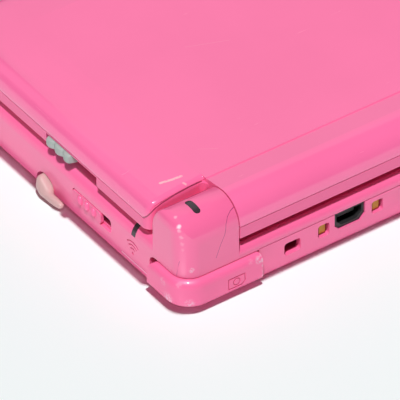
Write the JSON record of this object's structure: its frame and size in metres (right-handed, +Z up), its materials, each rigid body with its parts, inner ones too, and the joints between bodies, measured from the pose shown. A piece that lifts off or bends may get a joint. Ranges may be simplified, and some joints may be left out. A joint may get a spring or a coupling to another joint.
{
  "type": "clamshell handheld game console",
  "caption": "Large clamshell handheld game console, closed, with hinged lid, two screens, sliding pad, buttons, corner shoulder buttons, side sliders and a stylus.",
  "frame": {"origin": "on the surface it rests on, under the middle of its box", "axes": "+X to the user's right, +Y from the front edge to the hinge, +Z up"},
  "size_m": [0.1573, 0.093, 0.022],
  "materials": {
    "pink_shell": "injection moulded, glossy pink",
    "pink_cover": "lacquered, glossy pink",
    "pink_button": "glossy pink",
    "pink_matte": "satin pink",
    "control_grey": "satin dark grey",
    "button_white": "pale grey, polished",
    "slider_mint": "satin pale mint",
    "stylus_peach": "satin pale peach",
    "black_glass": "polished black panel",
    "black_plastic": "satin black",
    "light_window": "smoked clear plastic",
    "steel": "bright steel",
    "gold_contact": "gilt brass",
    "board_green": "green lacquer",
    "rubber_pad": "moulded silicone rubber",
    "pink_rubber": "moulded pink rubber"
  },
  "bodies": {
    "base": {"base_upper_shell": "pink_shell", "base_lower_shell": "pink_shell", "battery_cover": "pink_shell", "battery_cover_screws": "steel", "case_screws": "steel", "battery": "black_plastic", "main_board": "board_green", "touch_screen": "black_glass", "game_card_socket": "steel", "memory_card_socket": "steel", "power_socket": "black_plastic", "charge_contacts": "gold_contact", "headphone_jack": "black_plastic", "infrared_window": "black_glass", "notification_light": "light_window", "wireless_light": "light_window", "status_lights": "light_window", "hinge_clutch": "steel", "hinge_pivot_left": "steel", "shoulder_button_pins": "steel", "shoulder_springs": "steel", "stylus_tube": "pink_matte", "circle_pad_base": "control_grey", "button_membrane": "rubber_pad"},
    "lid": {"lid_cover": "pink_cover", "lid_inner_shell": "pink_shell", "top_screen": "black_glass", "screen_window": "black_glass", "camera_windows": "black_glass", "camera_modules": "black_plastic", "inner_camera": "black_plastic", "speakers": "control_grey", "lid_bumpers": "pink_rubber", "lid_screws": "steel", "display_ribbon": "gold_contact"},
    "circle_pad_carriage": {"circle_pad_carriage": "control_grey"},
    "circle_pad": {"circle_pad": "control_grey"},
    "d_pad_pivot": {"d_pad_pivot": "control_grey"},
    "d_pad": {"d_pad": "control_grey"},
    "face_button_right": {"face_button_right": "button_white"},
    "face_button_bottom": {"face_button_bottom": "button_white"},
    "face_button_top": {"face_button_top": "button_white"},
    "face_button_left": {"face_button_left": "button_white"},
    "select_button": {"select_button": "pink_matte"},
    "home_button": {"home_button": "pink_matte"},
    "start_button": {"start_button": "pink_matte"},
    "power_button": {"power_button": "pink_matte"},
    "right_shoulder_button": {"right_shoulder_button": "pink_button"},
    "left_shoulder_button": {"left_shoulder_button": "pink_button"},
    "wireless_switch": {"wireless_switch": "pink_button"},
    "volume_slider": {"volume_slider": "pink_button"},
    "stylus": {"stylus": "stylus_peach"},
    "memory_card_door": {"memory_card_door": "pink_button"},
    "depth_slider": {"depth_slider": "slider_mint"}
  },
  "joints": [
    {"name": "lid_hinge", "type": "hinge", "parent": "base", "child": "lid", "pos_m": [0, 0.0392, 0.0161], "axis": [-1, 0, 0], "range_deg": [0, 155]},
    {"name": "circle_pad_x", "type": "slide", "parent": "base", "child": "circle_pad_carriage", "axis": [1, 0, 0], "range_m": [-0.0014, 0.0014], "stiffness_N_per_m": 60},
    {"name": "circle_pad_y", "type": "slide", "parent": "circle_pad_carriage", "child": "circle_pad", "axis": [0, 1, 0], "range_m": [-0.0014, 0.0014], "stiffness_N_per_m": 60},
    {"name": "d_pad_roll", "type": "hinge", "parent": "base", "child": "d_pad_pivot", "pos_m": [-0.0592, -0.014, 0.0064], "axis": [0, 1, 0], "range_deg": [-2.5, 2.5], "stiffness_Nm_per_rad": 0.05},
    {"name": "d_pad_pitch", "type": "hinge", "parent": "d_pad_pivot", "child": "d_pad", "pos_m": [-0.0592, -0.014, 0.0064], "axis": [1, 0, 0], "range_deg": [-2.5, 2.5], "stiffness_Nm_per_rad": 0.05},
    {"name": "face_button_right_press", "type": "slide", "parent": "base", "child": "face_button_right", "axis": [0, 0, -1], "range_m": [0, 0.0008], "stiffness_N_per_m": 180, "springref_m": -0.0004},
    {"name": "face_button_bottom_press", "type": "slide", "parent": "base", "child": "face_button_bottom", "axis": [0, 0, -1], "range_m": [0, 0.0008], "stiffness_N_per_m": 180, "springref_m": -0.0004},
    {"name": "face_button_top_press", "type": "slide", "parent": "base", "child": "face_button_top", "axis": [0, 0, -1], "range_m": [0, 0.0008], "stiffness_N_per_m": 180, "springref_m": -0.0004},
    {"name": "face_button_left_press", "type": "slide", "parent": "base", "child": "face_button_left", "axis": [0, 0, -1], "range_m": [0, 0.0008], "stiffness_N_per_m": 180, "springref_m": -0.0004},
    {"name": "select_button_press", "type": "slide", "parent": "base", "child": "select_button", "axis": [0, 0, -1], "range_m": [0, 0.0005], "stiffness_N_per_m": 180, "springref_m": -0.0004},
    {"name": "home_button_press", "type": "slide", "parent": "base", "child": "home_button", "axis": [0, 0, -1], "range_m": [0, 0.0005], "stiffness_N_per_m": 180, "springref_m": -0.0004},
    {"name": "start_button_press", "type": "slide", "parent": "base", "child": "start_button", "axis": [0, 0, -1], "range_m": [0, 0.0005], "stiffness_N_per_m": 180, "springref_m": -0.0004},
    {"name": "power_button_press", "type": "slide", "parent": "base", "child": "power_button", "axis": [0, 0, -1], "range_m": [0, 0.0005], "stiffness_N_per_m": 180, "springref_m": -0.0004},
    {"name": "right_shoulder_swing", "type": "hinge", "parent": "base", "child": "right_shoulder_button", "pos_m": [0.0596, 0.0417, 0.0045], "axis": [0, 0, -1], "range_deg": [0, 2.2], "stiffness_Nm_per_rad": 0.08},
    {"name": "left_shoulder_swing", "type": "hinge", "parent": "base", "child": "left_shoulder_button", "pos_m": [-0.0596, 0.0417, 0.0045], "axis": [0, 0, 1], "range_deg": [0, 2.2], "stiffness_Nm_per_rad": 0.08},
    {"name": "wireless_switch_slide", "type": "slide", "parent": "base", "child": "wireless_switch", "axis": [0, 1, 0], "range_m": [0, 0.0032], "stiffness_N_per_m": 80, "springref_m": -0.0005},
    {"name": "volume_slide", "type": "slide", "parent": "base", "child": "volume_slider", "axis": [0, 1, 0], "range_m": [-0.0036, 0.0036]},
    {"name": "stylus_slide", "type": "slide", "parent": "base", "child": "stylus", "axis": [1, 0, 0], "range_m": [0, 0.095]},
    {"name": "memory_card_door_swing", "type": "hinge", "parent": "base", "child": "memory_card_door", "pos_m": [0.0763, -0.0304, 0.0035], "axis": [0, 1, 0], "range_deg": [0, 95]},
    {"name": "depth_slide", "type": "slide", "parent": "lid", "child": "depth_slider", "axis": [0, 1, 0], "range_m": [0, 0.0085]}
  ]
}
